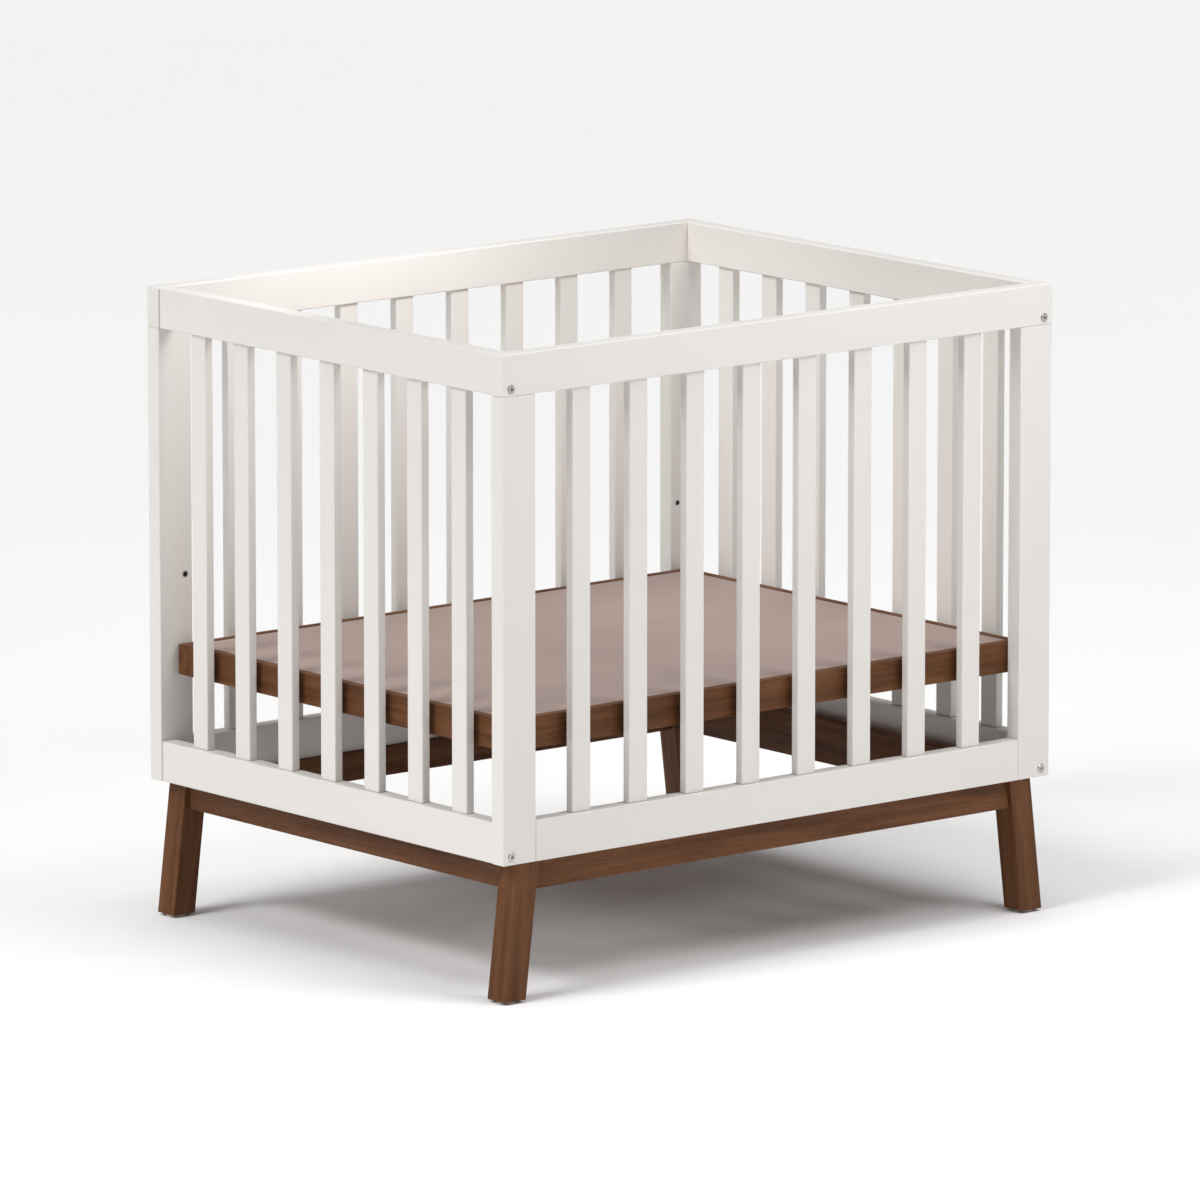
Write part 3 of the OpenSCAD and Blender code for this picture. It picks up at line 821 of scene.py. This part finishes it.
class CRIB_OT_aprons(bpy.types.Operator):
    """Model the aprons that join the legs"""

    bl_idname = "crib.aprons"
    bl_label = "Aprons"

    def execute(self, context):
        sizes = context.scene.crib_sizes
        for side_name in SIDE_NAMES.values():
            node = side_name + "_apron"
            low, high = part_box(node)
            apron = add_bar(node + "_stained", low, high)
            shift = math.tan(sizes.leg_splay) * (high.z - low.z)
            for end in END_NAMES:
                shift_vertices(apron, lambda co: co.z > high.z - HAIR and end * co.x > 0,
                               -end * shift)
            ease_edges(apron, sizes.base_ease)
            hand_over(apron, CRIB, "walnut_stain", stain("x"), node)
        for end_name in END_NAMES.values():
            node = end_name + "_apron"
            apron = add_bar(node + "_stained", *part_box(node))
            ease_edges(apron, sizes.base_ease)
            hand_over(apron, CRIB, "walnut_stain", stain("y"), node)
        return {"FINISHED"}


# ---- Mattress platform ----


def battens():
    """The names of the battens, from one end of the platform to the other."""
    return sorted(name for name in frame["nodes"] if name.startswith("platform_batten_"))


class CRIB_OT_platform_rails(bpy.types.Operator):
    """Model the platform's rails, rebated for the board and bored for their bolts and screws"""

    bl_idname = "crib.platform_rails"
    bl_label = "Platform Rails"

    def execute(self, context):
        for side, side_name in SIDE_NAMES.items():
            self.long_rail(context.scene.crib_sizes, f"platform_{side_name}_rail", side)
        for end, end_name in END_NAMES.items():
            self.end_rail(context.scene.crib_sizes, f"platform_{end_name}_rail", end)
        return {"FINISHED"}

    def long_rail(self, sizes, node, side):
        low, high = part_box(node)
        rail = add_bar(node + "_stained", low, high)
        ease_edges(rail, sizes.platform_ease)
        inner_y = high.y if side == FRONT else low.y
        outer_y = low.y if side == FRONT else high.y
        strip = high.y - low.y - sizes.rebate
        rebate_y = sorted((inner_y + side * sizes.rebate, inner_y - side * OVERCUT))
        cut_box(rail, Vector((low.x + strip, rebate_y[0], high.z - sizes.rebate)),
                Vector((high.x - strip, rebate_y[1], high.z + OVERCUT)))
        for name in battens():
            batten_low, batten_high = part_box(name)
            batten_end = batten_low.y if side == FRONT else batten_high.y
            housing_y = sorted((batten_end, inner_y - side * OVERCUT))
            cut_box(rail, Vector((batten_low.x, housing_y[0], batten_low.z)),
                    Vector((batten_high.x, housing_y[1], batten_high.z)))
        bolt_x, _, bolt_z, _ = corner_of("platform_bolts", sizes.cap_head)
        for end in END_NAMES:
            drill(rail, Vector((end * bolt_x, outer_y + side * OVERCUT, bolt_z)),
                  Vector((end * bolt_x, inner_y - side * OVERCUT, bolt_z)),
                  (sizes.bolt_shank + sizes.hole_play) / 2)
            self.drill_screws(rail, sizes, end, side, countersunk=True)
        hand_over(rail, PLATFORM, "walnut_stain", stain("x"), node)

    def end_rail(self, sizes, node, end):
        low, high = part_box(node)
        rail = add_bar(node + "_stained", low, high)
        ease_edges(rail, sizes.platform_ease)
        inner_x = high.x if end == LEFT else low.x
        outer_x = low.x if end == LEFT else high.x
        rebate_x = sorted((inner_x + end * sizes.rebate, inner_x - end * OVERCUT))
        cut_box(rail, Vector((rebate_x[0], low.y - OVERCUT, high.z - sizes.rebate)),
                Vector((rebate_x[1], high.y + OVERCUT, high.z + OVERCUT)))
        notch_x = sorted((outer_x - end * sizes.notch_skin, inner_x - end * OVERCUT))
        for side in SIDE_NAMES:
            end_y = side * (high.y + OVERCUT)
            notch_y = sorted((end_y, side * (high.y - sizes.notch_length)))
            cut_box(rail, Vector((notch_x[0], notch_y[0], low.z - OVERCUT)),
                    Vector((notch_x[1], notch_y[1], low.z + sizes.notch_height)))
            self.drill_screws(rail, sizes, end, side)
        hand_over(rail, PLATFORM, "walnut_stain", stain("y"), node)

    def drill_screws(self, rail, sizes, end, side, countersunk=False):
        """Bores for the two screws of a corner, and countersinks the rail that holds their heads."""
        low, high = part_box("platform_screws")
        z = (low.z + high.z) / 2
        outer_x = high.x - sizes.screw_head / 2
        rail_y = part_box("platform_right_rail")[1].y
        tip_y = 2 * rail_y - high.y
        head_radius = (sizes.screw_head + sizes.hole_play) / 2
        shank_radius = (sizes.screw_shank + sizes.hole_play) / 2
        for x in (outer_x, outer_x - sizes.screw_spacing):
            head = Vector((end * x, side * (high.y + HAIR), z))
            neck = head - Vector((0, side * (sizes.screw_head - sizes.screw_shank) / 2, 0))
            drill(rail, head, Vector((end * x, side * tip_y, z)), shank_radius)
            if countersunk:
                drill(rail, head, neck, head_radius, shank_radius)


class CRIB_OT_platform_deck(bpy.types.Operator):
    """Model the platform's board and the battens under it"""

    bl_idname = "crib.platform_deck"
    bl_label = "Platform Deck"

    def execute(self, context):
        sizes = context.scene.crib_sizes
        board = add_bar("platform_board_laminated", *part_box("platform_board"))
        ease_edges(board, sizes.board_ease)
        hand_over(board, PLATFORM, "board_laminate", finish(taupe_laminate), "platform_board")
        for node in battens():
            batten = add_bar(node + "_stained", *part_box(node))
            ease_edges(batten, sizes.platform_ease)
            hand_over(batten, PLATFORM, "walnut_stain", stain("y"), node)
        return {"FINISHED"}


# ---- Hardware ----


class CRIB_OT_frame_bolts(bpy.types.Operator):
    """Model the frame bolts, with a hexagon socket in each head"""

    bl_idname = "crib.frame_bolts"
    bl_label = "Frame Bolts"

    def execute(self, context):
        sizes = context.scene.crib_sizes
        x, head_y, low_z, high_z = corner_of("frame_bolts", sizes.bolt_head)
        number = 1
        for side in SIDE_NAMES:
            tops = [Vector((end * x, side * head_y, z)) for end in END_NAMES for z in (low_z, high_z)]
            bolts = [self.bolt(sizes, f"frame_bolt_{number}", tops[0], side, self.shank_end())]
            for top in tops[1:]:
                number += 1
                bolts.append(copy_piece(bolts[0], f"frame_bolt_{number}", top - tops[0]))
            for bolt in bolts:
                hand_over(bolt, CRIB, "zinc_steel", finish(zinc_plate), "frame_bolts")
            number += 1
        return {"FINISHED"}

    def shank_end(self):
        """How far in the bolts reach, from the middle plane of the crib."""
        return min(abs(vertex.co.y) for vertex in frame["nodes"]["frame_bolts"].data.vertices)

    def bolt(self, sizes, name, top, side, shank_y):
        """Bridges a round rim to a hexagon, sinks the socket, and draws out the head and the shank."""
        outward = Vector((0, side, 0))
        start_clean()
        place = {"location": top, "rotation": outward.to_track_quat("Z", "Y").to_euler()}
        rim = sizes.bolt_head / 2 - sizes.bolt_chamfer
        bpy.ops.mesh.primitive_circle_add(vertices=ROUND_SIDES, radius=rim, **place)
        bolt = bpy.context.object
        bolt.name = name
        bolt.data.name = name
        bpy.ops.object.mode_set(mode="EDIT")
        socket_radius = sizes.bolt_socket / 2 / math.cos(math.pi / 6)
        bpy.ops.mesh.primitive_circle_add(vertices=6, radius=socket_radius, **place)
        bpy.ops.mesh.subdivide(number_cuts=ROUND_SIDES // 6 - 1)
        bpy.ops.mesh.select_all(action="SELECT")
        bpy.ops.mesh.bridge_edge_loops()
        leave_edit()
        bpy.ops.object.transform_apply(location=True, rotation=True, scale=True)
        self.extrude_ring(bolt, top, 0, socket_radius + HAIR, 1, -outward * sizes.bolt_socket_depth)
        bpy.ops.mesh.edge_face_add()
        leave_edit()
        chamfer = sizes.bolt_chamfer
        head_radius = rim + chamfer
        shank_radius = sizes.bolt_shank / 2
        shank_length = abs(top.y) - shank_y - sizes.bolt_head_height - chamfer
        # Each step as the radius of the ring it starts from, its scale and its length
        steps = [
            (rim, head_radius / rim, chamfer),
            (head_radius, 1, sizes.bolt_head_height - chamfer),
            (head_radius, sizes.bolt_shank / sizes.bolt_head, 0),
            (shank_radius, 1, shank_length),
            (shank_radius, 1 - chamfer / shank_radius, chamfer)]
        depth = 0
        for radius, scale, step in steps:
            centre = top - outward * depth
            self.extrude_ring(bolt, centre, radius - HAIR, radius + HAIR, scale, -outward * step)
            leave_edit()
            depth += step
        edit(bolt, "vertices", lambda vertex: abs(abs(vertex.co.y) - shank_y) < HAIR)
        bpy.ops.mesh.edge_face_add()
        bpy.ops.mesh.select_all(action="SELECT")
        bpy.ops.mesh.normals_make_consistent(inside=False)
        leave_edit()
        return bolt

    def extrude_ring(self, bolt, centre, least, most, scale, step):
        """Extrudes the open ring of edges round a centre, moves it and scales it about its axis."""
        def on_ring(vertex):
            away = vertex.co - centre
            level = abs(away.y) < HAIR
            away.y = 0
            return level and least <= away.length <= most

        edit(bolt, "vertices", on_ring)
        bpy.ops.mesh.select_mode(type="EDGE")
        bpy.ops.mesh.extrude_edges_move(TRANSFORM_OT_translate={"value": step})
        bpy.ops.transform.resize(value=(scale, 1, scale), center_override=centre)
        bpy.ops.mesh.select_mode(type="VERT")


class CRIB_OT_hardware_finish(bpy.types.Operator):
    """Finish the nuts, inserts, screws, dowels and glides, which keep the frame's own shapes"""

    bl_idname = "crib.hardware_finish"
    bl_label = "Hardware Finish"

    def execute(self, context):
        steel = finish(zinc_plate)
        finishes = {
            "barrel_nuts": steel,
            "threaded_inserts": steel,
            "leg_bolts": steel,
            "platform_bolts": steel,
            "platform_screws": steel,
            "wood_dowels": finish(bare_beech),
            "floor_glides": finish(moulded_nylon),
        }
        for node, material in finishes.items():
            piece = frame["nodes"][node]
            piece.data.materials.clear()
            piece.data.materials.append(material)
        return {"FINISHED"}


# ---- Stage ----


class CRIB_OT_stage(bpy.types.Operator):
    """Set up the pale floor, the soft studio light and the camera"""

    bl_idname = "crib.stage"
    bl_label = "Stage"

    def execute(self, context):
        stage = context.scene.crib_stage
        self.floor(stage)
        self.fill(context.scene, stage)
        from_left = (0, stage.key_elevation - math.pi / 2, 0)
        self.broad_light("key_light", from_left, stage.key_strength, stage.light_softness)
        self.broad_light("top_light", (0, 0, 0), stage.top_strength, 2 * stage.light_softness)
        rail_top = CAD_BOX[1].z
        front_place = (0.4, -1.6, 1.9)
        upper_part = (0, 0, 0.75 * rail_top)
        self.softbox("front_softbox", front_place, upper_part, (1.0, 1.0), stage.softbox_power)
        inner_place = (-0.15, 0.09, rail_top + 0.17)
        rear_rail = (-0.15, CAD_BOX[1].y, rail_top - 0.02)
        self.softbox("inner_softbox", inner_place, rear_rail, (0.5, 0.1), stage.inner_power)
        self.camera(context.scene, stage)
        context.scene.view_settings.view_transform = "Standard"
        return {"FINISHED"}

    def floor(self, stage):
        """Adds the pale floor."""
        start_clean()
        bpy.ops.mesh.primitive_plane_add(size=FLOOR_SIZE, location=(0, 0, 0))
        floor = bpy.context.object
        floor.name = "studio_floor"
        shader = Shader("studio_floor")
        place = shader.coordinates()
        drift = shader.noise(place, (1, 1, 1), 0.6, detail=2)
        shade = [channel * 0.985 for channel in stage.floor]
        shader.join(shader.ramp(drift, [(0.35, shade), (0.65, stage.floor)]), "Base Color")
        shader.set(Roughness=0.9)
        floor.data.materials.append(shader.material)

    def fill(self, scene, stage):
        """Sets the even light that comes from all round."""
        world = bpy.data.worlds.new("studio_fill")
        world.use_nodes = True
        background = world.node_tree.nodes["Background"]
        background.inputs["Color"].default_value = (1.0, 1.0, 1.0, 1)
        background.inputs["Strength"].default_value = stage.sky_strength
        scene.world = world

    def broad_light(self, name, turn, strength, softness):
        """Adds a soft light that falls the same everywhere on the floor."""
        start_clean()
        bpy.ops.object.light_add(type="SUN", location=(0, 0, 4), rotation=turn)
        light = bpy.context.object
        light.name = name
        light.data.energy = strength
        light.data.angle = softness

    def softbox(self, name, place, aim, size, power):
        """Adds a softbox at one place that faces another."""
        start_clean()
        turn = (Vector(place) - Vector(aim)).to_track_quat("Z", "Y").to_euler()
        bpy.ops.object.light_add(type="AREA", location=place, rotation=turn)
        light = bpy.context.object
        light.name = name
        light.data.shape = "RECTANGLE"
        light.data.size, light.data.size_y = size
        light.data.energy = power
        light.visible_camera = False

    def camera(self, scene, stage):
        """Adds the camera, which looks at the middle of the crib."""
        aim = (CAD_BOX[0] + CAD_BOX[1]) / 2
        back = Vector((
            math.sin(stage.azimuth) * math.cos(stage.elevation),
            -math.cos(stage.azimuth) * math.cos(stage.elevation),
            math.sin(stage.elevation)))
        turn = back.to_track_quat("Z", "Y").to_euler()
        bpy.ops.object.camera_add(location=aim + back * stage.distance, rotation=turn)
        camera = bpy.context.object
        camera.name = "crib_camera"
        camera.data.lens = stage.lens
        camera.data.clip_end = 200
        scene.camera = camera


# ---- Panel and registration ----

# The operators, in the order that builds the crib
STEPS = (
    CRIB_OT_long_rails,
    CRIB_OT_posts,
    CRIB_OT_end_rails,
    CRIB_OT_slats,
    CRIB_OT_legs,
    CRIB_OT_aprons,
    CRIB_OT_platform_rails,
    CRIB_OT_platform_deck,
    CRIB_OT_frame_bolts,
    CRIB_OT_hardware_finish,
    CRIB_OT_stage,
)


class CRIB_PT_build(bpy.types.Panel):
    """Lists the steps that build the crib"""

    bl_idname = "CRIB_PT_build"
    bl_label = "Slatted Crib"
    bl_space_type = "VIEW_3D"
    bl_region_type = "UI"
    bl_category = "Crib"

    def draw(self, context):
        for step in STEPS:
            self.layout.operator(step.bl_idname)


GROUPS = {"crib_sizes": CribSizes, "crib_finish": CribFinish, "crib_stage": CribStage}
CLASSES = (*GROUPS.values(), *STEPS, CRIB_PT_build)


def register():
    for cls in CLASSES:
        bpy.utils.register_class(cls)
    for name, group in GROUPS.items():
        setattr(bpy.types.Scene, name, bpy.props.PointerProperty(type=group))


def unregister():
    for name in GROUPS:
        delattr(bpy.types.Scene, name)
    for cls in reversed(CLASSES):
        bpy.utils.unregister_class(cls)


def main():
    """Builds the whole crib."""
    register()
    for step in STEPS:
        group, name = step.bl_idname.split(".")
        getattr(getattr(bpy.ops, group), name)()


if __name__ == "__main__":
    main()
